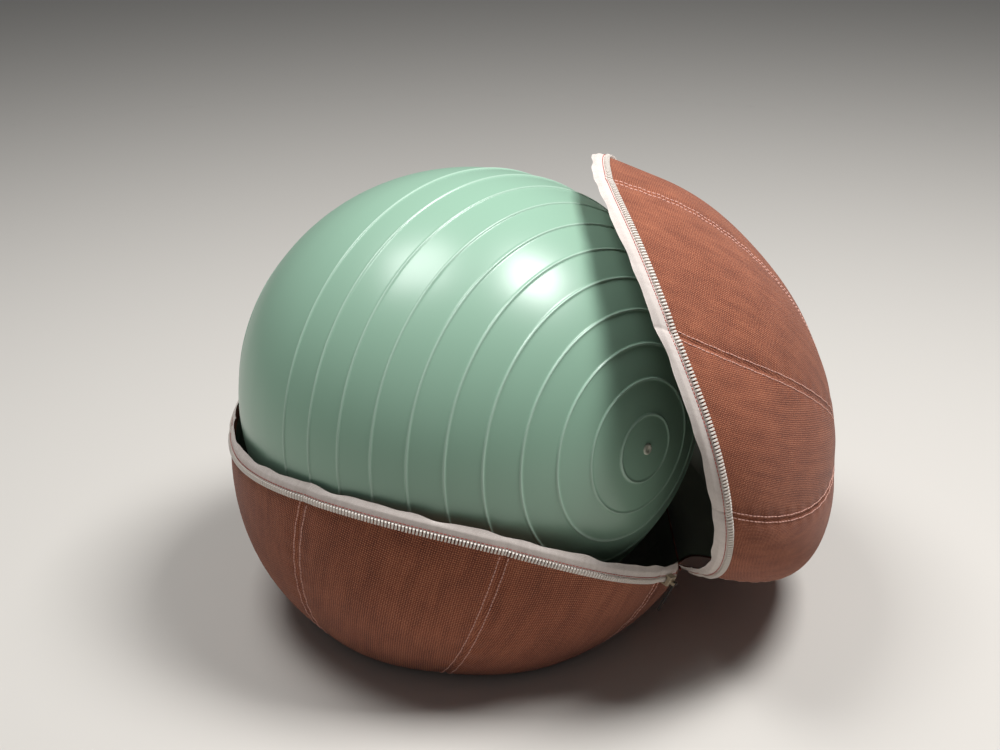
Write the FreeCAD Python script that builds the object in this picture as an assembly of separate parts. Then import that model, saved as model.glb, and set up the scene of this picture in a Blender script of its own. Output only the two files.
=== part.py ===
import math
import os

import FreeCAD
import Part
from FreeCAD import Placement, Rotation, Vector

# Ball
BALL_RADIUS = 272.0
BALL_WALL = 1.2
BALL_REST_SAG = 6.0
BALL_SET_BACK = 3.0
VALVE_DIR = Vector(0.703, -0.708, 0.068)
RIBS = 20
PLAIN_BAND = (94.0, 128.0)
RIB_STEP = 8.25
RIB_HEIGHT = 1.5
RIB_HALF = 2.6

# Valve, measured along its own axis
SOCKET_RADIUS = 4.5
SOCKET_BORE = 2.6
SOCKET_DEPTH = 16.0
SOCKET_FLANGE_RADIUS = 11.0
SOCKET_FLANGE = 1.6
PLUG_HEAD_RADIUS = 6.0
PLUG_TOP_RADIUS = 4.8
PLUG_HEAD = 1.8
PLUG_TIP_RADIUS = 1.9
PLUG_LENGTH = 12.0

# Cover, two halves of one sphere flattened on the floor
COVER_RADIUS = 292.0
WALL = 3.0
COVER_CENTRE = 198.0
COVER_TILT = 16.9
GORES = 8
LOWER_SEAM_PHASE = -129.0
UPPER_SEAM_PHASE = -129.0
END_PANEL_ANGLE = 17.0
END_RING_ANGLE = 0.7

# Rim, a saddle: its height follows an arc from the lip to the fold
RIM_LOW = -46.0
RIM_SAG = 85.0

# Fold line between the halves
FOLD_REACH = 258.0
FOLD_WEDGE = 47.0
FOLD_NOTCH = 3.5
PIPING_RADIUS = 1.0
PIPING_OVERHANG = 4.0
OPEN_ANGLE = 78.3

# Slump of the open upper half: how far its crown has sunk, and the lip's share of that
SLUMP_SIDE = 134.0
SLUMP_DEPTH = 135.0
LIP_SHARE = 0.84

# Zip
TAPE = 0.8
TAPE_WIDTH = 16.0
CHAIN = 2.2
CHAIN_START = 9.0
CHAIN_WIDTH = 6.0
TOOTH_PITCH = 3.8
TOOTH_LENGTH = 2.4
FACING = 0.8
FACING_WIDTH = 26.0
TAB_LENGTH = 20.0
TAB_DEPTH = 22.0
TAB = 1.5
STOP_LENGTH = 5.0
STOP_HEIGHT = 4.4

# Slider and its pull
SLIDER_SET_BACK = 20.0
SLIDER_LENGTH = 17.0
SLIDER_SHELL = 2.0
SLIDER_TOP = 9.0
BAR_RADIUS = 1.2
BAR_LIFT = 3.4
POST = 1.6
PULL_WIDTH = 7.0
PULL_LENGTH = 37.0
PULL = 1.8
EYE_WALL = 1.3

# Clearances
LAY_GAP = 0.05
SEAM_GAP = 0.3
RIM_GAP = 0.6
PIN_GAP = 0.08
SLIP_GAP = 0.4

# Derived values
REACH = 2.0 * COVER_RADIUS
COVER_INNER = COVER_RADIUS - WALL
RIM_ARC = (COVER_RADIUS ** 2 + RIM_SAG ** 2) / (2.0 * RIM_SAG)
RIM_TOP = RIM_LOW + RIM_SAG
FOLD_HEIGHT = RIM_TOP - RIM_ARC + math.sqrt(RIM_ARC ** 2 - FOLD_REACH ** 2)
FOLD_HALF = math.sqrt(COVER_RADIUS ** 2 - (FOLD_REACH - FOLD_NOTCH) ** 2 - FOLD_HEIGHT ** 2)
PIPING_LENGTH = 2.0 * (FOLD_HALF + PIPING_OVERHANG)
END_ARC = math.radians(END_PANEL_ANGLE)
RING_ARC = math.radians(END_RING_ANGLE)
BALL_CENTRE = Vector(-BALL_SET_BACK, 0, WALL + LAY_GAP + BALL_RADIUS - BALL_REST_SAG)
UP = Vector(0, 0, 1)
ACROSS = Vector(0, 1, 0)

LOWER = Placement(Vector(0, 0, COVER_CENTRE), Rotation(ACROSS, COVER_TILT))
FOLD_POINT = Vector(FOLD_REACH, 0, FOLD_HEIGHT)
OPENING = Placement(Vector(), Rotation(ACROSS, OPEN_ANGLE), FOLD_POINT)
UPPER = LOWER.multiply(OPENING)

NODES = {}


def add(name, shape, place=None):
    """Keep one finished node, put in its place."""
    out = shape.copy()
    if place is not None:
        out.Placement = place.multiply(out.Placement)
    NODES[name] = out


def prism(points, axis, low, high):
    """Extrude a closed polygon of plane points along an axis.

    Points are (x, z) pairs when the axis is Y, and (x, y) pairs when it is Z.
    """
    if axis == "Y":
        ring = [Vector(a, low, b) for a, b in points]
    else:
        ring = [Vector(a, b, low) for a, b in points]
    ring.append(ring[0])
    run = (ACROSS if axis == "Y" else UP) * (high - low)
    return Part.Face(Part.makePolygon(ring)).extrude(run)


def rim_height(x):
    """Height of the rim surface over the cover's centre plane."""
    return RIM_TOP - RIM_ARC + math.sqrt(RIM_ARC ** 2 - x ** 2)


def rim_block(shift, far):
    """Solid from the rim surface, moved by shift, to the level far."""
    wide = 1.2 * COVER_RADIUS
    ends = [Vector(x, -REACH, rim_height(x) + shift) for x in (-wide, 0.0, wide)]
    arc = Part.Arc(*ends).toShape()
    corners = [ends[2], Vector(wide, -REACH, far), Vector(-wide, -REACH, far), ends[0]]
    lines = [Part.makeLine(a, b) for a, b in zip(corners, corners[1:])]
    face = Part.Face(Part.Wire([arc] + lines))
    return face.extrude(ACROSS * (2.0 * REACH))


def rim_band(near, far):
    """Solid between two rim surfaces moved by near and far."""
    low, high = sorted((near, far))
    return rim_block(high, -REACH).cut(rim_block(low, -REACH))


def behind_fold(set_back=0.0):
    """Block that keeps what lies on the cover's side of the fold line."""
    edge = FOLD_REACH - FOLD_NOTCH - set_back
    return prism([(-REACH, -REACH), (edge, -REACH), (edge, REACH), (-REACH, REACH)], "Y", -REACH, REACH)


def fold_cut(side):
    """Wedge beyond the fold line that one half keeps clear of.

    Args: side is -1 for the lower half and +1 for the upper half.
    """
    turn = math.radians(side * FOLD_WEDGE)
    apex = (FOLD_REACH - FOLD_NOTCH, FOLD_HEIGHT)
    tip = (apex[0] + REACH * math.cos(turn), apex[1] + REACH * math.sin(turn))
    far = FOLD_HEIGHT - side * REACH
    return prism([apex, tip, (tip[0], far), (apex[0], far)], "Y", -REACH, REACH)


def gore_wedge(phase, index):
    """Upright wedge that holds one gore between two seams."""
    half = math.pi / GORES
    mid = math.radians(phase) + (2 * index + 1) * half
    back = 0.5 * SEAM_GAP / math.sin(half)
    apex = (back * math.cos(mid), back * math.sin(mid))
    turns = (mid - half, mid + half)
    sides = [(REACH * math.cos(a) + apex[0], REACH * math.sin(a) + apex[1]) for a in turns]
    return prism([apex] + sides, "Z", -REACH, REACH)


def pole_cone(angle, sign):
    """Cone from the cover's centre round one pole."""
    cone = Part.makeCone(0.0, REACH * math.tan(angle), REACH)
    if sign < 0:
        cone.rotate(Vector(), ACROSS, 180.0)
    return cone


def floor_block(level):
    """Everything below one height over the floor, in the cover's own frame."""
    size = 2.0 * REACH
    box = Part.makeBox(size, size, size, Vector(-REACH, -REACH, level - size))
    box.Placement = LOWER.inverse().multiply(box.Placement)
    return box


def lower_layer(outer, inner, outer_floor, inner_floor):
    """Spherical layer of the lower half, flat where it stands on the floor."""
    skin = Part.makeSphere(outer).cut(floor_block(outer_floor))
    core = Part.makeSphere(inner).cut(floor_block(inner_floor))
    return skin.cut(core)


def slump_matrix():
    """Map from the closed upper half to the slumped one, with the fold line kept."""
    lip_x = FOLD_REACH + COVER_RADIUS
    lip_z = RIM_LOW - FOLD_HEIGHT
    crown_z = COVER_RADIUS - FOLD_HEIGHT
    part_z = (1.0 - FOLD_REACH * LIP_SHARE / lip_x) / (crown_z - FOLD_REACH * lip_z / lip_x)
    part_x = (LIP_SHARE - part_z * lip_z) / lip_x
    start = part_x * FOLD_REACH - part_z * FOLD_HEIGHT
    m = FreeCAD.Matrix()
    m.A11 = 1.0 - SLUMP_SIDE * part_x
    m.A13 = SLUMP_SIDE * part_z
    m.A14 = SLUMP_SIDE * start
    m.A31 = SLUMP_DEPTH * part_x
    m.A33 = 1.0 - SLUMP_DEPTH * part_z
    m.A34 = -SLUMP_DEPTH * start
    return m


def layer(inner, thick):
    """Whole spherical layer of the cover, from its inner radius outward."""
    return Part.makeSphere(inner + thick).cut(Part.makeSphere(inner))


def rim_frame(set_back, drop):
    """Point and directions on the lower half's outside, near the fold's front end."""
    def point(x):
        h = rim_height(x) - drop
        return Vector(x, -math.sqrt(COVER_RADIUS ** 2 - x ** 2 - h ** 2), h)

    here = point(FOLD_REACH - set_back)
    along = point(FOLD_REACH - set_back + 0.5) - here
    normal = Vector(here).normalize()
    along = (along - normal * along.dot(normal)).normalize()
    return here, along, normal, normal.cross(along)


def frame_place(origin, x_dir, z_dir):
    """Placement with its X along x_dir and Z along z_dir."""
    y_dir = z_dir.cross(x_dir)
    return Placement(origin, Rotation(x_dir, y_dir, z_dir, "ZXY"))


def ribbed_ball():
    """The ball's outside with its raised rings, turned about the valve axis."""
    def point(angle, radius=BALL_RADIUS):
        return Vector(radius * math.sin(angle), 0, radius * math.cos(angle))

    half = RIB_HALF / BALL_RADIUS
    edges = []
    start = 0.0
    for index in range(RIBS):
        if PLAIN_BAND[0] < RIB_STEP * (index + 1) < PLAIN_BAND[1]:
            continue
        mid = math.radians(RIB_STEP * (index + 1))
        edges.append(Part.Arc(point(start), point(0.5 * (start + mid - half)), point(mid - half)).toShape())
        top = point(mid, BALL_RADIUS + RIB_HEIGHT)
        edges.append(Part.makeLine(point(mid - half), top))
        edges.append(Part.makeLine(top, point(mid + half)))
        start = mid + half
    edges.append(Part.Arc(point(start), point(0.5 * (start + math.pi)), point(math.pi)).toShape())
    edges.append(Part.makeLine(point(math.pi), point(0.0)))
    return Part.Face(Part.Wire(edges)).revolve(Vector(), UP, 360.0)


def chain_direction(turn, shift):
    """Direction from the cover's centre to the rim moved by shift, at one turn from the fold."""
    low = -0.9
    high = 0.9
    while high - low > 1e-9:
        lat = 0.5 * (low + high)
        x = COVER_RADIUS * math.cos(lat) * math.cos(turn)
        if COVER_RADIUS * math.sin(lat) > rim_height(x) + shift:
            high = lat
        else:
            low = lat
    return Vector(math.cos(low) * math.cos(turn), math.cos(low) * math.sin(turn), math.sin(low))


def chain_teeth(side):
    """The moulded teeth of one side of the zip, spaced along the rim.

    Args: side is -1 for the lower half and +1 for the upper half.
    """
    shift = side * (CHAIN_START + 0.5 * CHAIN_WIDTH)
    base = COVER_RADIUS + TAPE + 2.0 * LAY_GAP
    last = FOLD_REACH - FOLD_NOTCH - STOP_LENGTH - 2.0 * SLIP_GAP - TOOTH_LENGTH
    tooth = Part.makeBox(TOOTH_LENGTH, CHAIN_WIDTH, CHAIN, Vector(-0.5 * TOOTH_LENGTH, -0.5 * CHAIN_WIDTH, 0))
    step = math.radians(0.05)
    turn = 0.0
    run = TOOTH_PITCH
    before = chain_direction(turn, shift)
    teeth = []
    while turn < 2.0 * math.pi:
        turn += step
        here = chain_direction(turn, shift)
        if here.x * base > last:
            before = here
            continue
        run += (here - before).Length * base
        if run >= TOOTH_PITCH:
            run -= TOOTH_PITCH
            along = (here - before - here * (here - before).dot(here)).normalize()
            copy = tooth.copy()
            copy.Placement = frame_place(here * base, along, here)
            teeth.append(copy)
        before = here
    return Part.makeCompound(teeth)


def build_ball():
    """The ball, its valve socket and the plug."""
    valve = Vector(VALVE_DIR).normalize()
    seat = frame_place(BALL_CENTRE, valve.cross(UP).normalize(), valve)
    outer = ribbed_ball()
    outer.Placement = seat
    inner = Part.makeSphere(BALL_RADIUS - BALL_WALL, BALL_CENTRE)
    skins = []
    for solid, level in ((outer, 0.0), (inner, BALL_WALL)):
        below = BALL_CENTRE.z - BALL_RADIUS + BALL_REST_SAG + level
        block = Part.makeBox(REACH, REACH, REACH, Vector(-REACH / 2, -REACH / 2, below - REACH))
        skins.append(solid.cut(block))
    hole = Part.makeCylinder(SOCKET_RADIUS + LAY_GAP, REACH)
    hole.Placement = seat
    add("ball_skin", skins[0].cut(skins[1]).cut(hole))

    tube = Part.makeCylinder(SOCKET_RADIUS, SOCKET_DEPTH, Vector(0, 0, BALL_RADIUS - SOCKET_DEPTH))
    flange = Part.makeCylinder(SOCKET_FLANGE_RADIUS, SOCKET_FLANGE)
    flange.translate(Vector(0, 0, BALL_RADIUS - 1.5 * BALL_WALL - SOCKET_FLANGE))
    bore = Part.makeCylinder(SOCKET_BORE, REACH)
    add("valve_socket", tube.fuse(flange).cut(bore).removeSplitter(), seat)

    head = Part.makeCone(PLUG_HEAD_RADIUS, PLUG_TOP_RADIUS, PLUG_HEAD)
    head.translate(Vector(0, 0, BALL_RADIUS + LAY_GAP))
    stem = Part.makeCone(PLUG_TIP_RADIUS, SOCKET_BORE - LAY_GAP, PLUG_LENGTH)
    stem.translate(Vector(0, 0, BALL_RADIUS + LAY_GAP - PLUG_LENGTH))
    add("valve_plug", head.fuse(stem).removeSplitter(), seat)


def build_lower():
    """Lower half: gores, end panel, ring, facing and its side of the zip."""
    shell = lower_layer(COVER_RADIUS, COVER_INNER, 0.0, WALL)
    shell = shell.common(rim_block(-RIM_GAP, -REACH)).cut(fold_cut(-1))
    edge = SEAM_GAP / COVER_RADIUS
    opening = pole_cone(END_ARC + RING_ARC + edge, -1)
    for index in range(GORES):
        gore = shell.common(gore_wedge(LOWER_SEAM_PHASE, index)).cut(opening)
        add("lower_panel_%d" % (index + 1), gore, LOWER)
    ring = shell.common(pole_cone(END_ARC + RING_ARC, -1)).cut(pole_cone(END_ARC - RING_ARC, -1))
    add("lower_end_ring", ring, LOWER)
    add("lower_end_panel", shell.common(pole_cone(END_ARC - RING_ARC - edge, -1)), LOWER)

    inside = COVER_INNER - LAY_GAP
    facing = layer(inside - FACING, FACING)
    facing = facing.common(rim_band(-2.0 * RIM_GAP, -FACING_WIDTH)).common(behind_fold())
    add("lower_rim_facing", facing, LOWER)

    outside = COVER_RADIUS + LAY_GAP
    tape = layer(outside, TAPE)
    tape = tape.common(rim_band(-2.0 * RIM_GAP, -TAPE_WIDTH)).common(behind_fold())
    add("lower_zip_tape", tape, LOWER)

    base = outside + TAPE + LAY_GAP
    add("lower_zip_teeth", chain_teeth(-1), LOWER)

    stop_run = rim_band(-CHAIN_START + 1.0, -CHAIN_START - CHAIN_WIDTH - 1.0)
    stops = layer(base, STOP_HEIGHT).common(stop_run)
    stops = stops.common(behind_fold(SLIP_GAP)).cut(behind_fold(STOP_LENGTH))
    add("zip_stops", stops, LOWER)

    wall = inside - FACING - LAY_GAP
    tabs = layer(wall - TAB, TAB)
    tabs = tabs.common(rim_band(-3.0 * RIM_GAP, -TAB_DEPTH))
    tabs = tabs.common(behind_fold(SLIP_GAP)).cut(behind_fold(TAB_LENGTH))
    add("zip_end_tabs", tabs, LOWER)


def build_fold():
    """Piping along the fold line, and the gusset beyond it."""
    start = FOLD_POINT - ACROSS * (0.5 * PIPING_LENGTH)
    add("fold_piping", Part.makeCylinder(PIPING_RADIUS, PIPING_LENGTH, start, ACROSS), LOWER)
    shell = layer(COVER_INNER, WALL)
    apex = (FOLD_REACH - FOLD_NOTCH, FOLD_HEIGHT)
    low = math.radians(-FOLD_WEDGE + 0.6)
    high = math.radians(FOLD_WEDGE - OPEN_ANGLE - 3.0)
    corners = [(apex[0] + REACH * math.cos(a), apex[1] + REACH * math.sin(a)) for a in (low, high)]
    add("hinge_gusset", shell.common(prism([apex] + corners, "Y", -REACH, REACH)), LOWER)


def build_upper():
    """Upper half: gores, crown, ring, facing and its side of the zip, all slumped."""
    shell = layer(COVER_INNER, WALL).common(rim_block(RIM_GAP, REACH)).cut(fold_cut(1))
    edge = SEAM_GAP / COVER_RADIUS
    opening = pole_cone(END_ARC + RING_ARC + edge, 1)
    made = {}
    for index in range(GORES):
        gore = shell.common(gore_wedge(UPPER_SEAM_PHASE, index)).cut(opening)
        made["upper_panel_%d" % (index + 1)] = gore
    ring = shell.common(pole_cone(END_ARC + RING_ARC, 1))
    made["upper_end_ring"] = ring.cut(pole_cone(END_ARC - RING_ARC, 1))
    made["upper_end_panel"] = shell.common(pole_cone(END_ARC - RING_ARC - edge, 1))

    facing = layer(COVER_INNER - LAY_GAP - FACING, FACING)
    made["upper_rim_facing"] = facing.common(rim_band(2.0 * RIM_GAP, FACING_WIDTH)).common(behind_fold())
    tape = layer(COVER_RADIUS + LAY_GAP, TAPE)
    made["upper_zip_tape"] = tape.common(rim_band(2.0 * RIM_GAP, TAPE_WIDTH)).common(behind_fold())
    made["upper_zip_teeth"] = chain_teeth(1)

    slumped = slump_matrix()
    for name, shape in made.items():
        add(name, shape.transformGeometry(slumped), UPPER)


def build_slider():
    """Zip slider at the fold's front end, and its hanging pull."""
    here, along, normal, down = rim_frame(SLIDER_SET_BACK, CHAIN_START + 0.5 * CHAIN_WIDTH)
    if down.z > 0:
        down = down * -1.0
    place = frame_place(here, down, normal)
    half = 0.5 * CHAIN_WIDTH + 2.0 * SLIP_GAP
    wide = half + SLIDER_SHELL
    base = 2.0 * LAY_GAP + TAPE + SLIP_GAP
    body = Part.makeBox(2.0 * wide, SLIDER_LENGTH, SLIDER_TOP - base, Vector(-wide, -SLIDER_LENGTH / 2, base))
    body = body.makeFillet(1.2, [e for e in body.Edges if e.BoundBox.ZMin > SLIDER_TOP - 0.1])
    roof = base + CHAIN + 2.0 * SLIP_GAP
    body = body.cut(Part.makeBox(2.0 * half, REACH, roof, Vector(-half, -REACH / 2, 0)))
    bar_z = SLIDER_TOP + BAR_LIFT
    eye = BAR_RADIUS + PIN_GAP + EYE_WALL
    gap = 0.5 * PULL_WIDTH + SLIP_GAP
    bar = Part.makeCylinder(BAR_RADIUS, 2.0 * (gap + POST), Vector(0, -gap - POST, bar_z), ACROSS)
    solids = [bar]
    for y in (-gap - POST, gap):
        tall = BAR_LIFT + BAR_RADIUS + 1.5
        solids.append(Part.makeBox(3.6, POST, tall, Vector(-1.8, y, SLIDER_TOP - 1.0)))
    add("slider_body", body.multiFuse(solids).removeSplitter(), LOWER.multiply(place))

    plate = Part.makeBox(PULL_LENGTH, PULL_WIDTH, PULL, Vector(0, -PULL_WIDTH / 2, bar_z - PULL / 2))
    tips = [e for e in plate.Edges if e.BoundBox.XMin > PULL_LENGTH - 0.1 and e.BoundBox.YLength < 0.1]
    plate = plate.makeFillet(2.6, [e for e in tips if e.BoundBox.ZLength > 0.5 * PULL])
    knuckle = Part.makeCylinder(eye, PULL_WIDTH, Vector(0, -PULL_WIDTH / 2, bar_z), ACROSS)
    hole = Part.makeCylinder(BAR_RADIUS + PIN_GAP, REACH, Vector(0, -REACH / 2, bar_z), ACROSS)
    add("slider_pull", plate.fuse(knuckle).cut(hole).removeSplitter(), LOWER.multiply(place))


def main():
    """Build every node and write one file for each."""
    build_ball()
    build_lower()
    build_fold()
    build_upper()
    build_slider()
    os.makedirs("parts", exist_ok=True)
    for name, shape in NODES.items():
        shape.exportStep(os.path.join("parts", name + ".step"))


main()
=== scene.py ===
"""Dresses the ball pouf: a green exercise ball in an open, gored cloth cover.

Lengths are in millimetres and angles in radians unless a name or a comment says otherwise.
"""

import logging
import math
from collections.abc import Callable, Mapping, Sequence
from dataclasses import dataclass, field
from enum import Enum
from typing import Optional

import bpy
import numpy as np
from mathutils import Matrix, Vector


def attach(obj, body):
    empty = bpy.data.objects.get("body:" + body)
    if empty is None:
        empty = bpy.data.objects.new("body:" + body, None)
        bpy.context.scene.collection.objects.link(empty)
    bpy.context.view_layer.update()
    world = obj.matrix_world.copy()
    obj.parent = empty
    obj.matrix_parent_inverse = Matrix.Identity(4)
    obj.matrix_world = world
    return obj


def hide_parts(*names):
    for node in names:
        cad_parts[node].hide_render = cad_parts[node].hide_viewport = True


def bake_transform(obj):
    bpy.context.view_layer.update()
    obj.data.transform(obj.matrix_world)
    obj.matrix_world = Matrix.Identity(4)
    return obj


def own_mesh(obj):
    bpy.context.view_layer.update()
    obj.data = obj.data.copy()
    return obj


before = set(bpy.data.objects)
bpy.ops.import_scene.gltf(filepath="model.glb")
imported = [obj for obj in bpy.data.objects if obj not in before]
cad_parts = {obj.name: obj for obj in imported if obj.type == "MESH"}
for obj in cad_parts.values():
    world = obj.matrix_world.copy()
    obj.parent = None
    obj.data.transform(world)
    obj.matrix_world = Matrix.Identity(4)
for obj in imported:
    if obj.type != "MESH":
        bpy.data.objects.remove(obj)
LOG = logging.getLogger("pouf")
MM = 0.001
HALVINGS = 40
TINY = 1e-9
FULL_TURN = 2.0 * math.pi

Mesh = tuple[np.ndarray, np.ndarray]
Point = tuple[float, float, float]


class Half(Enum):
    """The two halves of the cover, with the sign of their poles."""

    LOWER = -1
    UPPER = 1


def linear(hex_colour: str) -> tuple[float, float, float, float]:
    """Turns an sRGB hex colour into linear RGBA.

    Args:
        hex_colour: six hex digits, with or without a leading hash.

    Returns:
        Linear red, green, blue and an alpha of 1.
    """
    digits = hex_colour.lstrip("#")
    raw = [int(digits[i:i + 2], 16) / 255.0 for i in (0, 2, 4)]
    out = [c / 12.92 if c <= 0.04045 else ((c + 0.055) / 1.055) ** 2.4 for c in raw]
    return out[0], out[1], out[2], 1.0


def smooth(t: np.ndarray) -> np.ndarray:
    """Smooth step of values clipped to 0 and 1."""
    t = np.clip(t, 0.0, 1.0)
    return t * t * (3.0 - 2.0 * t)


def bell(x: np.ndarray, width: float) -> np.ndarray:
    """Bell curve that is 1 at zero and has nearly gone at twice its width."""
    return np.exp(-(x / width) ** 2)


def unit(v: np.ndarray) -> np.ndarray:
    """Vectors scaled to a length of 1."""
    return v / np.maximum(np.linalg.norm(v, axis=-1, keepdims=True), TINY)


def sideways(v: np.ndarray, along: np.ndarray) -> np.ndarray:
    """Vectors without their share along a unit direction."""
    return v - along * np.sum(v * along, -1, keepdims=True)


def run_length(points: np.ndarray) -> np.ndarray:
    """Distance along a line of points, from its first one to each."""
    return np.concatenate([[0.0], np.cumsum(np.linalg.norm(np.diff(points, axis=0), axis=-1))])


def rested(points: np.ndarray, level: float, soft: float) -> np.ndarray:
    """Keeps points over a level, with a rounded edge where they meet it.

    The height is a soft maximum: level + soft * log(1 + exp((z - level) / soft)).

    Args:
        points: points, last axis x, y, z.
        level: height of the floor under them.
        soft: size of the rounded edge.

    Returns:
        The points, moved in height alone.
    """
    out = points.copy()
    out[..., 2] = level + soft * np.logaddexp(0.0, (points[..., 2] - level) / soft)
    return out


def halved(past: Callable[[np.ndarray], np.ndarray], low: np.ndarray,
           high: np.ndarray) -> np.ndarray:
    """Finds where a test turns true, by halving many spans at once.

    Args:
        past: tells for each trial value whether it is past the place sought.
        low: lower ends of the spans.
        high: upper ends of the spans.

    Returns:
        The places, one for each span.
    """
    for _ in range(HALVINGS):
        mid = 0.5 * (low + high)
        over = past(mid)
        low, high = np.where(over, low, mid), np.where(over, mid, high)
    return 0.5 * (low + high)


def make_object(name: str, points: np.ndarray, faces: np.ndarray,
                uv: Optional[np.ndarray] = None, soft: bool = True) -> bpy.types.Object:
    """Makes a mesh object from arrays of points in millimetres.

    Args:
        name: name of the piece.
        points: positions in the row frame, last axis x, y, z.
        faces: (m, k) vertex numbers.
        uv: coordinates in millimetres, one pair for each point.
        soft: whether the faces are shaded smooth.

    Returns:
        The new object, linked to the scene.
    """
    mesh = bpy.data.meshes.new(name)
    mesh.from_pydata((points.reshape(-1, 3) * MM).tolist(), [], faces.tolist())
    if uv is not None:
        layer = mesh.uv_layers.new(name="UVMap")
        corners = np.empty(len(mesh.loops), dtype=np.int32)
        mesh.loops.foreach_get("vertex_index", corners)
        placed = uv.reshape(-1, 2)[corners] * MM
        layer.data.foreach_set("uv", placed.astype(np.float32).ravel())
    mesh.polygons.foreach_set("use_smooth", np.full(len(mesh.polygons), soft))
    mesh.update()
    obj = bpy.data.objects.new(name, mesh)
    bpy.context.scene.collection.objects.link(obj)
    return obj


def declare_sheet(obj: bpy.types.Object, flat: tuple[float, float], area: float, held: str,
                  rests_on: Sequence[str]) -> None:
    """Logs a cloth piece's flat rectangle, the area of its cut and the area made.

    Args:
        obj: the piece.
        flat: width and length of the rectangle.
        area: area of the cut in square millimetres.
        held: how the sheet is held; not used.
        rests_on: names of the pieces that carry it; not used.
    """
    faces = np.empty(len(obj.data.polygons))
    obj.data.polygons.foreach_get("area", faces)
    LOG.info("%s: flat %.0f x %.0f mm, cut %.4f m2, made %.4f m2", obj.name, *flat,
             area * MM ** 2, faces.sum())


def grid_faces(rows: int, cols: int, closed: bool = False, start: int = 0) -> np.ndarray:
    """Quads of a grid of points laid out row by row.

    Args:
        rows: number of rows of points.
        cols: number of points in each row.
        closed: whether the last column joins the first.
        start: number of the grid's first point.

    Returns:
        (m, 4) vertex numbers.
    """
    r = np.arange(rows - 1)[:, None]
    c = np.arange(cols if closed else cols - 1)[None, :]
    n = (c + 1) % cols
    a, b = r * cols + c, r * cols + n
    d, e = (r + 1) * cols + n, (r + 1) * cols + c
    return np.stack([a, b, d, e], -1).reshape(-1, 4) + start


def stamp(shape: np.ndarray, shape_faces: np.ndarray, origin: np.ndarray,
          axes: np.ndarray) -> Mesh:
    """Copies one small shape to many places.

    Args:
        shape: (k, 3) points of the shape in its own axes.
        shape_faces: (m, 4) vertex numbers of the shape.
        origin: (n, 3) places.
        axes: (n, 3, 3) the three axes at each place, as rows.

    Returns:
        Points and faces of all the copies.
    """
    points = origin[:, None, :] + np.einsum("kj,njc->nkc", shape, axes)
    faces = shape_faces[None] + (np.arange(len(origin)) * len(shape))[:, None, None]
    return points.reshape(-1, 3), faces.reshape(-1, shape_faces.shape[1])


@dataclass(frozen=True)
class Bead:
    """A small block with a narrower top, repeated along a line: a stitch or a tooth."""

    length: float
    width: float
    height: float
    pitch: float
    seat: float
    taper: float = 0.6
    shoulder: float = 0.55

    def mesh(self) -> Mesh:
        """Three rings of four points, at the foot, the shoulder and the top, which is closed.

        Returns:
            Points and faces, with the foot open.
        """
        corner = np.array([(-1, -1), (1, -1), (1, 1), (-1, 1)], float) * 0.5
        levels = ((1.0, 0.0), (1.0, self.shoulder * self.height), (self.taper, self.height))
        rings = [np.c_[corner * (self.length, self.width) * size, np.full(4, height)]
                 for size, height in levels]
        faces = np.concatenate([grid_faces(3, 4, True), [[8, 9, 10, 11]]])
        return np.concatenate(rings), faces


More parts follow.
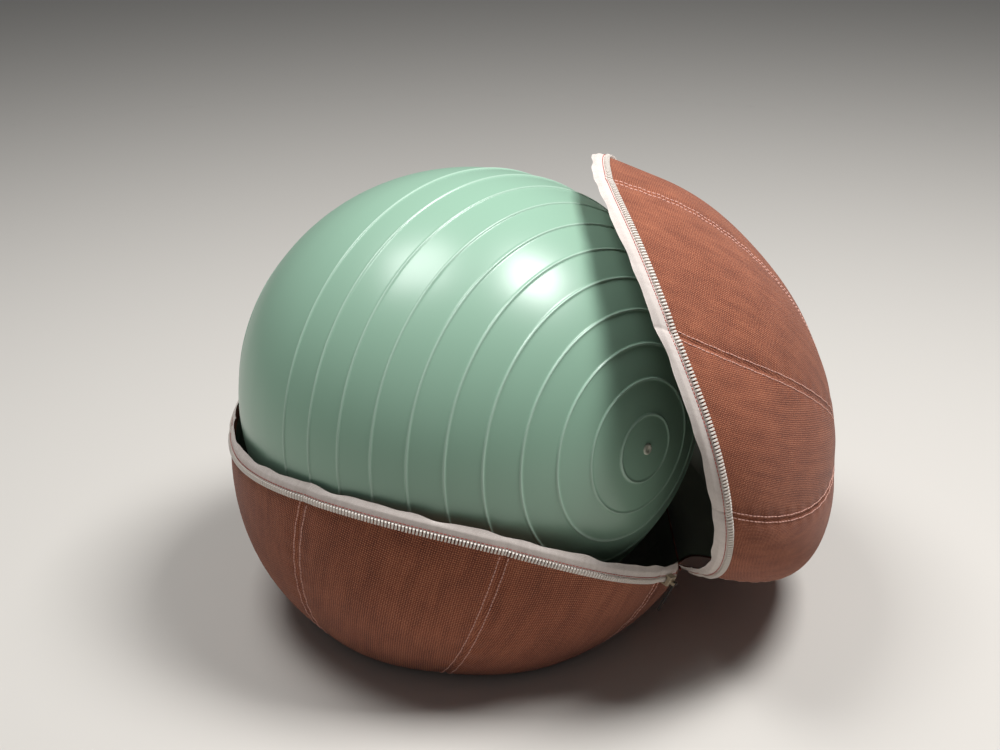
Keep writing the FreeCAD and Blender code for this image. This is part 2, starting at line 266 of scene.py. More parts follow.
@dataclass(frozen=True)
class CoverShape:
    """Sizes of the cover, in millimetres and degrees, as in the solids.

    Only the wedge at the fold is wider, because the gores end there and one soft patch spans
    the rest.
    """

    radius: float = 292.0
    centre: float = 198.0
    tilt: float = 16.9
    gores: int = 8
    seam_phase: float = -129.0
    rim_low: float = -46.0
    rim_sag: float = 85.0
    fold_reach: float = 258.0
    fold_notch: float = 3.5
    fold_wedge: float = 70.0
    open_angle: float = 78.3
    slump_side: float = 134.0
    slump_depth: float = 135.0
    lip_share: float = 0.84
    ease: float = 0.5
    end_angle: float = 17.0

    @property
    def rim_arc(self) -> float:
        """Radius of the rim's arc."""
        return (self.radius ** 2 + self.rim_sag ** 2) / (2.0 * self.rim_sag)

    @property
    def fold_edge(self) -> float:
        """Distance from the centre to where the halves are joined."""
        return self.fold_reach - self.fold_notch

    @property
    def fold_height(self) -> float:
        """Height of the fold line over the centre."""
        return float(self.rim(np.array(self.fold_reach)))

    @property
    def fold_point(self) -> np.ndarray:
        """Middle of the fold line in the closed cover's frame."""
        return np.array([self.fold_reach, 0.0, self.fold_height])

    def rim(self, x: np.ndarray) -> np.ndarray:
        """Height of the rim over the centre, an arc of x, the distance towards the fold."""
        arc = self.rim_arc
        return self.rim_low + self.rim_sag - arc + np.sqrt(np.maximum(arc ** 2 - x ** 2, 1.0))

    def edge(self, x: np.ndarray, half: Half) -> np.ndarray:
        """Height where a half ends: its rim, and beyond the fold a straight wedge.

        Args:
            x: distances towards the fold.
            half: which half.

        Returns:
            Heights over the centre.
        """
        slope = half.value * math.tan(math.radians(self.fold_wedge))
        beyond = self.fold_height + slope * (x - self.fold_edge)
        return np.where(x > self.fold_edge, beyond, self.rim(x))

    @property
    def sink(self) -> np.ndarray:
        """How far the crown has sunk in the open upper half."""
        return np.array([self.slump_side, 0.0, -self.slump_depth])

    @property
    def rise(self) -> np.ndarray:
        """Change of the share of sinking for each millimetre.

        Returns:
            A direction, scaled so that the share is 0 at the fold and 1 at the crown.
        """
        lip, crown = (-self.radius, 0.0, self.rim_low), (0.0, 0.0, self.radius)
        ends = np.array([lip, crown]) - self.fold_point
        x, z = np.linalg.solve(ends[:, [0, 2]], np.array([self.lip_share, 1.0]))
        return np.array([x, 0.0, z])

    def slumped(self, p: np.ndarray) -> np.ndarray:
        """Moves points of the closed upper half to where they lie when it is open.

        The solids sink evenly, and a blend between two bodies eases in and out. The cloth is
        set between the two, so that it stays near the solids.

        Args:
            p: points in the closed cover's frame.

        Returns:
            The sunk points.
        """
        keep = 1.0 + float(self.rise @ self.sink)
        even = (p - self.fold_point) @ self.rise

        def past(trial: np.ndarray) -> np.ndarray:
            """Whether a blended share is too large to come from the even one."""
            return keep * trial + (1.0 - keep) * smooth(trial) > even

        blended = halved(past, np.full_like(even, -1.0), np.full_like(even, 2.5))
        share = self.ease * smooth(blended) + (1.0 - self.ease) * even
        return p + share[..., None] * self.sink

    def slump_line(self) -> np.ndarray:
        """Row points where the sinking starts and where it is complete, in metres."""
        run = self.rise * (1.0 + self.rise @ self.sink) / (self.rise @ self.rise)
        return self.world(Half.UPPER, np.stack([self.fold_point, self.fold_point + run])) * MM

    def local(self, half: Half, phi: np.ndarray, lat: np.ndarray,
              grow: np.ndarray | float = 0.0, open_up: bool = True) -> np.ndarray:
        """Points of one half in the closed cover's frame: a sphere, slumped where it is open.

        Args:
            half: which half.
            phi: angle round the axis, 0 at the fold.
            lat: latitude.
            grow: distance outward from the outer surface.
            open_up: whether the upper half has slumped.

        Returns:
            Points, last axis x, y, z.
        """
        r = self.radius + grow
        flat = r * np.cos(lat)
        p = np.stack(np.broadcast_arrays(flat * np.cos(phi), flat * np.sin(phi),
                                         r * np.sin(lat)), -1)
        return self.slumped(p) if half is Half.UPPER and open_up else p

    def edge_lat(self, half: Half, phi: np.ndarray, drop: np.ndarray | float = 0.0) -> np.ndarray:
        """Latitude of a half's edge, or of a line a set drop from it, found by halving.

        Args:
            half: which half.
            phi: angles round the axis.
            drop: distance from the edge, down on the lower half and up on the upper one.

        Returns:
            Latitudes.
        """
        def past(lat: np.ndarray) -> np.ndarray:
            """Whether a latitude is over the line."""
            p = self.local(half, phi, lat, open_up=False)
            return p[..., 2] > self.edge(p[..., 0], half) + half.value * drop

        return halved(past, np.full_like(phi, -0.9), np.full_like(phi, 0.9))

    def matrix(self, half: Half) -> np.ndarray:
        """Where a half stands: tilted over its centre, the upper one also turned at the fold.

        Args:
            half: which half.

        Returns:
            4x4 matrix from the closed cover's frame to the row.
        """
        tilt = Matrix.Rotation(math.radians(self.tilt), 4, "Y")
        lower = Matrix.Translation((0, 0, self.centre)) @ tilt
        if half is Half.LOWER:
            return np.array(lower)
        hinge = Matrix.Translation((self.fold_reach, 0, self.fold_height))
        turn = Matrix.Rotation(math.radians(self.open_angle), 4, "Y")
        return np.array(lower @ hinge @ turn @ hinge.inverted())

    def world(self, half: Half, points: np.ndarray) -> np.ndarray:
        """Points of a half, moved from the closed cover's frame to the row."""
        m = self.matrix(half)
        return points @ m[:3, :3].T + m[:3, 3]

    def normal(self, half: Half, phi: np.ndarray, lat: np.ndarray) -> np.ndarray:
        """Outward unit normals of a half's surface, from small steps on it both ways.

        Args:
            half: which half.
            phi: angles round the axis.
            lat: latitudes.

        Returns:
            Normals in the row.
        """
        step = 0.004
        du = self.local(half, phi + step, lat) - self.local(half, phi - step, lat)
        dv = self.local(half, phi, lat + step) - self.local(half, phi, lat - step)
        return unit(np.cross(du, dv)) @ self.matrix(half)[:3, :3].T


@dataclass(frozen=True)
class Finish:
    """A surface finish made of procedural nodes, with pattern sizes in millimetres."""

    name: str
    base: str
    roughness: float
    dark: str = ""
    light: str = ""
    weave_mm: float = 0.0
    relief_mm: float = 0.0
    grain_mm: float = 0.0
    sheen: float = 0.0
    coat: float = 0.0
    mask: str = ""

    def node(self, tree: bpy.types.NodeTree, kind: str, inputs: Mapping[str | int, object],
             **properties: object) -> bpy.types.Node:
        """Adds a node, sets its properties, and fills or links its inputs.

        Args:
            tree: node tree of the material.
            kind: type name of the node.
            inputs: for each input, by name or number, a value or the socket that feeds it.
            properties: settings of the node itself.

        Returns:
            The new node.
        """
        item = tree.nodes.new(kind)
        for key, value in properties.items():
            setattr(item, key, value)
        for key, value in inputs.items():
            if isinstance(value, bpy.types.NodeSocket):
                tree.links.new(value, item.inputs[key])
            else:
                item.inputs[key].default_value = value
        return item

    def build(self) -> bpy.types.Material:
        """Makes the material.

        Returns:
            The new material.
        """
        mat = bpy.data.materials.new(self.name)
        mat.use_nodes = True
        tree = mat.node_tree
        shader = tree.nodes["Principled BSDF"]
        plain = {"Base Color": linear(self.base), "Roughness": self.roughness,
                 "Sheen Weight": self.sheen, "Sheen Roughness": 0.5,
                 "Coat Weight": self.coat, "Coat Roughness": 0.25}
        for key, value in plain.items():
            shader.inputs[key].default_value = value
        if self.weave_mm:
            self.weave(tree, shader)
        elif self.grain_mm:
            self.grain(tree, shader)
        if self.mask:
            part = self.node(tree, "ShaderNodeAttribute", {}, attribute_name=self.mask)
            mix = self.node(tree, "ShaderNodeMix",
                            {0: part.outputs["Fac"], 6: linear(self.base), 7: linear(self.light)},
                            data_type="RGBA")
            tree.links.new(mix.outputs[2], shader.inputs["Base Color"])
        return mat

    def weave(self, tree: bpy.types.NodeTree, shader: bpy.types.Node) -> None:
        """Adds a woven colour and relief on the UV map.

        The height is the product of two crossed waves, one for each set of threads, with
        noise of three sizes added for fuzz, slubs and worn patches.

        Args:
            tree: node tree of the material.
            shader: the surface shader that takes the colour and the relief.
        """
        threads, slubs = 0.45, ((0.7, 0.5, 1.0), (5.0, 0.25, 0.15), (16.0, 0.2, 1.0))
        stops = ((0.38, self.dark or self.base), (0.86, self.light or self.base))
        coords = self.node(tree, "ShaderNodeTexCoord", {}).outputs["UV"]
        scale = math.pi / 10.0 / (self.weave_mm * MM)
        waves = [self.node(tree, "ShaderNodeTexWave",
                           {"Vector": coords, "Scale": scale, "Distortion": 1.5,
                            "Detail Scale": 2.0}, bands_direction=way) for way in ("X", "Y")]
        cross = self.node(tree, "ShaderNodeMath",
                          {i: wave.outputs["Fac"] for i, wave in enumerate(waves)},
                          operation="MULTIPLY")
        height = self.node(tree, "ShaderNodeMath", {0: cross.outputs[0], 1: threads},
                           operation="MULTIPLY").outputs[0]
        # Each slub: its size in thread spacings, its share of the height, its squeeze lengthwise.
        for size, share, squeeze in slubs:
            turn = self.node(tree, "ShaderNodeMapping",
                             {"Vector": coords, "Scale": (1.0, squeeze, 1.0)})
            noise = self.node(tree, "ShaderNodeTexNoise",
                              {"Vector": turn.outputs["Vector"], "Detail": 2.0,
                               "Scale": 1.0 / (size * self.weave_mm * MM)})
            height = self.node(tree, "ShaderNodeMath",
                               {0: noise.outputs["Fac"], 1: share, 2: height},
                               operation="MULTIPLY_ADD").outputs[0]
        ramp = self.node(tree, "ShaderNodeValToRGB", {"Fac": height})
        for element, (position, colour) in zip(ramp.color_ramp.elements, stops):
            element.position, element.color = position, linear(colour)
        ramp.color_ramp.elements.new(0.6).color = linear(self.base)
        bump = self.node(tree, "ShaderNodeBump", {"Height": height, "Strength": 0.8,
                                                  "Distance": self.relief_mm * MM})
        tree.links.new(ramp.outputs["Color"], shader.inputs["Base Color"])
        tree.links.new(bump.outputs["Normal"], shader.inputs["Normal"])

    def grain(self, tree: bpy.types.NodeTree, shader: bpy.types.Node) -> None:
        """Adds a fine even relief, noise on object coordinates.

        Args:
            tree: node tree of the material.
            shader: the surface shader that takes the relief.
        """
        coords = self.node(tree, "ShaderNodeTexCoord", {}).outputs["Object"]
        noise = self.node(tree, "ShaderNodeTexNoise",
                          {"Vector": coords, "Detail": 3.0, "Scale": 1.0 / (self.grain_mm * MM)})
        bump = self.node(tree, "ShaderNodeBump",
                         {"Height": noise.outputs["Fac"], "Strength": 0.5,
                          "Distance": self.relief_mm * MM})
        tree.links.new(bump.outputs["Normal"], shader.inputs["Normal"])


class Look(Enum):
    """The finishes of the pouf, each named for what the real one is made of; two are also named
    for the painted shade they carry.
    """

    # Coarse woven polyester: dull, with dark gaps between pale thread tops.
    CLOTH = Finish("woven_polyester", "8A472E", 0.92, "582716", "BC7A57", 2.6, 0.9, sheen=0.1)
    # Coated backing: smooth, grey and dull, with a faint unevenness.
    LINING = Finish("coated_backing", "8F8F86", 0.85, grain_mm=3.0, relief_mm=0.25)
    # The same cloth turned in and pressed flat, painted a little redder and darker than the cloth:
    # painted shade.
    TURNED = Finish("turned_polyester", "8A3E2E", 0.9, "5E261C", "B06A58", 2.2, 0.7)
    # Ribbed binding tape: near black.
    BINDING = Finish("ribbed_binding", "15140F", 0.8, "0B0A08", "2A2824", 1.6, 0.4)
    # Woven zip tape: off-white; its weave is too fine to show and is drawn at 1 mm.
    TAPE = Finish("woven_zip_tape", "D3C8C1", 0.85, "BDB0A8", "E4DCD6", 1.0, 0.2)
    # Moulded acetal: cream white, with a soft shine.
    TEETH = Finish("moulded_acetal", "E4DCD3", 0.42)
    # Polyester thread: pale pink, half dull.
    THREAD = Finish("seam_thread", "D8A596", 0.7)
    # Polyester thread: red, duller.
    RED_THREAD = Finish("zip_thread", "B4574E", 0.8)
    # Moulded PVC: sage green and satin, with a grain too fine to see singly; the rings are painted
    # paler, a painted highlight on their raised tops.
    BALL = Finish("satin_pvc", "8FB29C", 0.34, light="ACC8B6", grain_mm=1.2, relief_mm=0.02,
                  coat=0.2, mask="rib")
    # Hard PVC: pale and half shiny.
    VALVE = Finish("moulded_pvc", "C3C4B4", 0.45)
    # Painted zinc: beige, with a satin shine.
    SLIDER = Finish("painted_zinc", "B7A78C", 0.35)
    # Moulded nylon: dark brown, half dull.
    PULL = Finish("moulded_nylon", "2B2622", 0.6)
    # The cover's cloth folded small, its weave pressed, painted darker than the cloth: painted
    # shade.
    TAB = Finish("folded_polyester_in_painted_shade", "7A2F22", 0.9, "521C14", "9C5040", 2.2, 0.6)
    # Plain matt floor.
    FLOOR = Finish("matt_floor", "CCC8C2", 0.9)


class Palette:
    """All the finishes, built once."""

    def __init__(self) -> None:
        """Builds every finish."""
        self.made = {look: look.value.build() for look in Look}

    def paint(self, obj: bpy.types.Object, look: Look) -> bpy.types.Object:
        """Gives an object one finish.

        Args:
            obj: the object.
            look: its finish.

        Returns:
            The same object.
        """
        obj.data.materials.clear()
        obj.data.materials.append(self.made[look])
        return obj


@dataclass(frozen=True)
class Ball:
    """The inflated ball with its raised rings, and the valve plug. Angles are in degrees."""

    palette: Palette
    centre: Point = (-3.0, 0.0, 266.0)
    wide: float = 275.0
    tall: float = 263.0
    floor: float = 3.4
    floor_soft: float = 6.0
    rib_step: float = 8.25
    rib_height: float = 1.5
    rib_width: float = 0.95
    rib_end: float = 172.0
    plain_band: tuple[float, float] = (94.0, 128.0)
    valve: Point = (0.703, -0.708, 0.068)
    columns: int = 180
    pressed: float = 0.86
    plug_columns: int = 28
    plug_profile: tuple = ((0.0, 0.9), (2.6, 0.9), (3.2, 1.7), (5.4, 1.9), (6.2, 1.2),
                           (6.4, -1.0), (9.0, -1.2))

    def axes(self) -> np.ndarray:
        """Two directions across the valve's axis, and the axis.

        Returns:
            The three unit directions, as rows.
        """
        v = unit(np.array(self.valve))
        a = unit(np.cross(v, (0.0, 0.0, 1.0)))
        return np.stack([a, np.cross(v, a), v])

    def angles(self) -> np.ndarray:
        """Rows of points: nine over each rib, two between ribs, and a few over the poles.

        Returns:
            Angles from the valve in radians, in order.
        """
        ribs = np.arange(1, int(self.rib_end / self.rib_step)) * self.rib_step
        over = np.array([-1.6, -1.0, -0.7, -0.4, 0.0, 0.4, 0.7, 1.0, 1.6]) * self.rib_width * 0.5
        between = [ribs + share * self.rib_step for share in (0.33, 0.67)]
        poles = [np.linspace(0.0, 5.5, 6), [174.0, 177.0, 180.0]]
        rows = np.concatenate([(ribs[:, None] + over).ravel(), *between, *poles])
        return np.radians(np.unique(rows.round(3)))

    def rib(self, angle: np.ndarray) -> np.ndarray:
        """Height of the ribs: a smooth ridge at each whole step, and none on the plain band.

        Args:
            angle: angles from the valve in radians.

        Returns:
            Heights over the skin.
        """
        deg, margin = np.degrees(angle), 0.6 * self.rib_step
        off = np.abs(deg - self.rib_step * np.round(deg / self.rib_step)) / (0.5 * self.rib_width)
        live = (deg > margin) & (deg < self.rib_end - margin)
        live &= (deg < self.plain_band[0]) | (deg > self.plain_band[1])
        return self.rib_height * np.where(live, 1.0 - smooth(off), 0.0)

    def surface(self, angle: np.ndarray, turn: np.ndarray) -> np.ndarray:
        """Points of the ball: an ellipsoid grown by its ribs and rested on the floor.

        Args:
            angle: angles from the valve in radians.
            turn: turns about the valve in radians.

        Returns:
            Row points.
        """
        own = np.stack([np.sin(angle) * np.cos(turn), np.sin(angle) * np.sin(turn),
                        np.cos(angle) * np.ones_like(turn)], -1)
        stretch = np.array([self.wide, self.wide, self.tall]) + self.rib(angle)[..., None]
        p = np.array(self.centre) + own @ self.axes() * stretch
        return rested(p, self.floor, self.floor_soft)

    def build(self) -> list[bpy.types.Object]:
        """Makes the ball and the plug and ties them to the frame.

        Returns:
            The two pieces.
        """
        turns = np.linspace(0, FULL_TURN, self.columns, endpoint=False)
        angle, turn = np.meshgrid(self.angles(), turns, indexing="ij")
        ball = make_object("ball", self.surface(angle, turn),
                           grid_faces(*angle.shape, closed=True)[:, ::-1])
        # The rib mask mixes the paler green onto the rings: a painted highlight.
        mask = ball.data.attributes.new("rib", "FLOAT", "POINT")
        ridge = self.rib(angle) / self.rib_height
        mask.data.foreach_set("value", ridge.astype(np.float32).ravel())
        self.palette.paint(ball, Look.BALL)
        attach(ball, "lower_cover")
        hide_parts("ball_skin")
        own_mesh(ball)
        return [ball, self.plug()]

    def plug(self) -> bpy.types.Object:
        """Makes the plug, a low dished profile turned about the valve's axis.

        Returns:
            The plug, tied to the frame.
        """
        turn = np.linspace(0, FULL_TURN, self.plug_columns, endpoint=False)
        r, h = np.hsplit(np.array(self.plug_profile), 2)
        own = np.stack([r * np.cos(turn), r * np.sin(turn), h * np.ones_like(turn)], -1)
        p = self.surface(np.zeros(1), np.zeros(1))[0] + own @ self.axes()
        plug = make_object("valve_plug_cap", p, grid_faces(*p.shape[:2], closed=True))
        self.palette.paint(plug, Look.VALVE)
        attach(plug, "lower_cover")
        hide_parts("valve_plug", "valve_socket")
        return plug


@dataclass(frozen=True)
class Drape:
    """How far the cloth departs from the plain shape, and over what widths."""

    puff: float = 2.2
    crease: float = 0.9
    crease_width: float = 1.6
    dip: float = 1.3
    dip_width: float = 12.0
    pucker: float = 0.5
    pucker_off: float = 9.0
    pucker_width: float = 7.0
    pucker_run: float = 4.1
    slack: float = 1.6
    floor: float = 0.4
    floor_soft: float = 7.0


@dataclass
class CoverHalf:
    """One half of the cover: cloth, lining, turned edge, stitching and zip.

    A profile lists, for each row of points of a strip, its distance from the rim and its
    distance outward from the cloth. The ring's profile has degrees from the ring seam instead.
    """

    half: Half
    shape: CoverShape
    palette: Palette
    drape: Drape = Drape()
    rows: int = 90
    gore_columns: int = 25
    disc_rows: int = 24
    ring_columns: int = 96
    lining_depth: float = 2.4
    turned_width: float = 21.0
    tape_width: float = 10.6
    tape_stand: float = 5.0
    tape_wave: float = 0.9
    tape_ripples: tuple = ((17.0, 0.0, 1.0), (29.0, 1.0, 1.0), (47.0, 2.0, 0.6))
    tooth: Bead = Bead(2.2, 6.4, 2.4, pitch=3.8, seat=1.0, taper=0.72)
    tooth_line: float = 12.2
    zip_thread: Bead = Bead(3.4, 0.8, 0.5, pitch=4.4, seat=0.95)
    zip_thread_line: float = 7.4
    seam_thread: Bead = Bead(4.3, 1.1, 0.8, pitch=5.6, seat=0.1, taper=0.55)
    seam_thread_line: float = 4.8
    seam_thread_start: float = 17.5
    ring_profile: tuple = ((-0.8, -3.0), (-0.7, -4.6), (0.7, -4.6), (0.8, -3.0))
    ring_reach: float = 86.0
    rim_probe: float = 8.0
    parts: list = field(default_factory=list)

    @property
    def name(self) -> str:
        """The half's name in pieces and nodes."""
        return self.half.name.lower()

    @property
    def gore_step(self) -> float:
        """Angle from one seam to the next."""
        return FULL_TURN / self.shape.gores

    def end_lat(self) -> float:
        """Latitude of the ring seam between the gores and the end panel."""
        return self.half.value * math.radians(90.0 - self.shape.end_angle)

    def seams(self) -> np.ndarray:
        """Angles of the seams."""
        return math.radians(self.shape.seam_phase) + np.arange(self.shape.gores) * self.gore_step

    def lift(self, phi: np.ndarray, lat: np.ndarray) -> np.ndarray:
        """How far the cloth stands from the plain shape.

        Gores are puffed by a sine across them, seams are sunk by a narrow and a wide bell,
        beside them the cloth puckers, and two crossed waves give slack. Waves have a whole
        number of periods round the cover, so that they meet.

        Args:
            phi: angles round the axis.
            lat: latitudes.

        Returns:
            Distances outward.
        """
        d, r = self.drape, self.shape.radius
        across = np.mod(phi - self.seams()[0], self.gore_step) / self.gore_step
        girth = np.abs(np.cos(lat))
        from_seam = np.minimum(across, 1.0 - across) * self.gore_step * r * girth
        from_ring = r * self.half.value * (self.end_lat() - lat)
        near = np.minimum(np.where(from_ring < 0.0, r, from_seam), np.abs(from_ring))
        puff = d.puff * np.sin(np.pi * across) ** 2 * girth
        groove = d.crease * bell(near, d.crease_width) + d.dip * bell(near, d.dip_width)
        gather = np.sin(lat * r / d.pucker_run + 3.0 * phi)
        pucker = d.pucker * bell(near - d.pucker_off, d.pucker_width) * gather
        slack = d.slack * np.sin(3.0 * phi + 4.0 * lat) * np.sin(5.0 * lat + phi + 0.7)
        return puff - groove + pucker + slack * np.cos(lat)

    def rim_lat(self, phi: np.ndarray, distance: float) -> np.ndarray:
        """Latitude of the line at a true distance from the rim, on the cloth as it lies.

        A probe line beside the rim gives how far one millimetre of height goes on the cloth.

        Args:
            phi: angles along the rim.
            distance: distance from the rim.

        Returns:
            Latitudes.
        """
        s = self.shape
        near, far = (s.local(self.half, phi, s.edge_lat(self.half, phi, drop))
                     for drop in (0.0, self.rim_probe))
        step = sideways(far - near, unit(np.gradient(near, axis=0)))
        drop = distance * self.rim_probe / np.linalg.norm(step, axis=-1)
        return s.edge_lat(self.half, phi, drop)

    def surface(self, phi: np.ndarray, lat: np.ndarray, grow: float = 0.0) -> np.ndarray:
        """Row points of the cloth: the plain shape moved along its normals.

        Args:
            phi: angles round the axis.
            lat: latitudes.
            grow: distance outward from the cloth.

        Returns:
            Row points, rested on the floor in the lower half.
        """
        p = self.shape.world(self.half, self.shape.local(self.half, phi, lat))
        lift = self.lift(phi, lat) + grow
        p = p + self.shape.normal(self.half, phi, lat) * lift[..., None]
        if self.half is Half.UPPER:
            return p
        return rested(p, self.drape.floor - min(grow, 0.0), self.drape.floor_soft)

    def finish(self, obj: bpy.types.Object, look: Look) -> bpy.types.Object:
        """Paints a piece and keeps it, to be tied to its body or baked in place."""
        self.parts.append(obj)
        return self.palette.paint(obj, look)

    def facing(self, faces: np.ndarray, inside: bool) -> np.ndarray:
        """Faces of a shell, turned to the inside or the outside of the cover."""
        return faces[:, ::-1] if (self.half is Half.LOWER) != inside else faces

    def strip(self, name: str, profile: Sequence[tuple[float, float]], look: Look,
              wave: float = 0.0) -> bpy.types.Object:
        """A strip along the zip: a profile carried along the rim.

        Args:
            name: name of the piece.
            profile: distance from the rim and from the cloth of each row of points.
            look: finish.
            wave: size of the ripple of the first row, a sum of sines.

        Returns:
            The new strip.
        """
        phi = self.zip_span()
        ripple = sum(share * np.sin(turns * phi + shift)
                     for turns, shift, share in self.tape_ripples)
        lats = [self.rim_lat(phi, drop) for drop, _ in profile]
        lats[0] = lats[0] + self.half.value * wave * ripple / self.shape.radius
        p = np.stack([self.surface(phi, lat, grow) for lat, (_, grow) in zip(lats, profile)])
        drops = np.array(profile)[:, :1]
        uv = np.stack(np.broadcast_arrays(run_length(p[0])[None, :], drops), -1)
        return self.finish(make_object(f"{self.name}_{name}", p,
                                       self.facing(grid_faces(*p.shape[:2]), True), uv), look)

    def cloth(self, name: str, grow: float, look: Look, inside: bool) -> bpy.types.Object:
        """The gored shell: one grid for each gore, from the rim to the ring seam.

        Args:
            name: name of the piece.
            grow: distance outward from the cloth.
            look: finish.
            inside: whether it is seen from inside.

        Returns:
            The new shell.
        """
        r = self.shape.radius
        across = 0.5 - 0.5 * np.cos(np.pi * np.linspace(0.0, 1.0, self.gore_columns))
        up = np.linspace(0.0, 1.0, self.rows)[:, None] ** 1.1
        points, uvs = [], []
        for seam in self.seams():
            phi = (seam + self.gore_step * across)[None, :] * np.ones_like(up)
            rim = self.shape.edge_lat(self.half, phi[0])[None, :]
            lat = rim + up * (self.end_lat() - rim)
            points.append(self.surface(phi, lat, grow))
            side = (phi - seam - 0.5 * self.gore_step) * r * np.cos(lat)
            uvs.append(np.stack([side, lat * r], -1))
        size = self.rows * self.gore_columns
        faces = np.concatenate([grid_faces(self.rows, self.gore_columns, start=i * size)
                                for i in range(self.shape.gores)])
        return self.finish(make_object(f"{self.name}_{name}", np.stack(points),
                                       self.facing(faces, inside), np.stack(uvs)), look)

    def end_disc(self, name: str, grow: float, look: Look, inside: bool) -> bpy.types.Object:
        """The round end panel inside the ring seam: rings about the pole, closed in the middle.

        Args:
            name: name of the piece.
            grow: distance outward from the cloth.
            look: finish.
            inside: whether it is seen from inside.

        Returns:
            The new disc.
        """
        count = self.ring_columns
        turn = np.linspace(0, FULL_TURN, count, endpoint=False)[None, :]
        reach = np.linspace(0.004, 1.0, self.disc_rows)[:, None]
        away = math.radians(self.shape.end_angle) * reach
        lat = self.half.value * (0.5 * math.pi - away) * np.ones_like(turn)
        p = self.surface(turn * np.ones_like(lat), lat, grow)
        uv = self.shape.radius * np.stack([away * np.cos(turn), away * np.sin(turn)], -1)
        i = np.arange(count // 2 - 1)
        middle = np.stack([i, i + 1, count - 2 - i, count - 1 - i], -1)
        faces = np.concatenate([grid_faces(*lat.shape, closed=True)[:, ::-1], middle])
        return self.finish(make_object(f"{self.name}_{name}", p, self.facing(faces, inside), uv),
                           look)

    def ring(self) -> bpy.types.Object:
        """The bound ring seam round the pole, on the inside: a low profile carried round it.

        Returns:
            The new ring.
        """
        phi = np.linspace(0, FULL_TURN, self.ring_columns + 1)
        rows = []
        for off, grow in self.ring_profile:
            lat = self.end_lat() + self.half.value * math.radians(off)
            rows.append(self.surface(phi, np.full_like(phi, lat), grow))
        p = np.stack(rows)
        width = np.arange(len(rows))[:, None] * 3.0
        uv = np.stack(np.broadcast_arrays(phi[None, :] * self.ring_reach, width), -1)
        return self.finish(make_object(f"{self.name}_ring", p, grid_faces(*p.shape[:2]), uv),
                           Look.BINDING)

    def zip_span(self) -> np.ndarray:
        """Angles along the zip, from one end of the fold to the other.

        Returns:
            Angles round the axis, in even steps.
        """
        s = self.shape
        phi = np.linspace(0.05, math.pi, 400)
        x = s.local(self.half, phi, s.edge_lat(self.half, phi), open_up=False)[..., 0]
        start = float(phi[np.argmax(x < s.fold_edge - 1.0)])
        return np.linspace(start, FULL_TURN - start, 720)

    def bead_row(self, bead: Bead, phi: np.ndarray, lat: np.ndarray) -> Mesh:
        """Sets a bead at an even pitch along a line on the cloth.

        Each copy has its axes along the line, across it and outward.

        Args:
            bead: the stitch or tooth.
            phi: angles of the line.
            lat: latitudes of the line.

        Returns:
            Points and faces of the row.
        """
        run = run_length(self.surface(phi, lat))
        at = np.arange(0.5 * bead.pitch, run[-1], bead.pitch)
        phi, lat = np.interp(at, run, phi), np.interp(at, run, lat)
        p = self.surface(phi, lat, bead.seat)
        along = unit(np.gradient(p, axis=0))
        out = unit(sideways(self.shape.normal(self.half, phi, lat), along))
        return stamp(*bead.mesh(), p, np.stack([along, np.cross(out, along), out], 1))

    def zip_row(self, name: str, bead: Bead, distance: float, look: Look,
                soft: bool) -> bpy.types.Object:
        """A row of teeth or of thread along the zip.

        Args:
            name: name of the piece.
            bead: the stitch or tooth.
            distance: distance of the row from the rim.
            look: finish.
            soft: whether the faces are shaded smooth.

        Returns:
            The new row.
        """
        phi = self.zip_span()
        points, faces = self.bead_row(bead, phi, self.rim_lat(phi, distance))
        return self.finish(make_object(f"{self.name}_{name}", points, faces, soft=soft), look)

    def seam_stitch(self) -> bpy.types.Object:
        """Two rows of top stitching, one at each side of every seam.

        Returns:
            The new rows, as one piece.
        """
        s, points, faces, count = self.shape, [], [], 0
        for seam in self.seams():
            start = s.edge_lat(self.half, np.array([seam]), self.seam_thread_start)[0]
            lat = np.linspace(float(start), self.end_lat() - self.half.value * 0.01, 160)
            for side in (-1.0, 1.0):
                phi = seam + side * self.seam_thread_line / (s.radius * np.cos(lat))
                p, f = self.bead_row(self.seam_thread, phi, lat)
                points.append(p)
                faces.append(f + count)
                count += len(p)
        return self.finish(make_object(f"{self.name}_seam_stitch", np.concatenate(points),
                                       np.concatenate(faces)), Look.THREAD)

    def cut(self) -> tuple[tuple[float, float], float]:
        """Flat size of the gores laid side by side, worked out on the closed sphere.

        Returns:
            Width and length of their rectangle, and their area.
        """
        r, phi = self.shape.radius, np.linspace(0.0, FULL_TURN, 721)
        rim = self.half.value * self.shape.edge_lat(self.half, phi)
        end = abs(self.end_lat())
        area = r ** 2 * float(np.mean(math.sin(end) - np.sin(rim))) * FULL_TURN
        return (FULL_TURN * r, float((r * (end - rim)).max())), area

    def rim_length(self) -> float:
        """Length of the closed cover's rim along the zip."""
        phi = self.zip_span()
        lat = self.shape.edge_lat(self.half, phi)
        return float(run_length(self.shape.local(self.half, phi, lat, open_up=False))[-1])

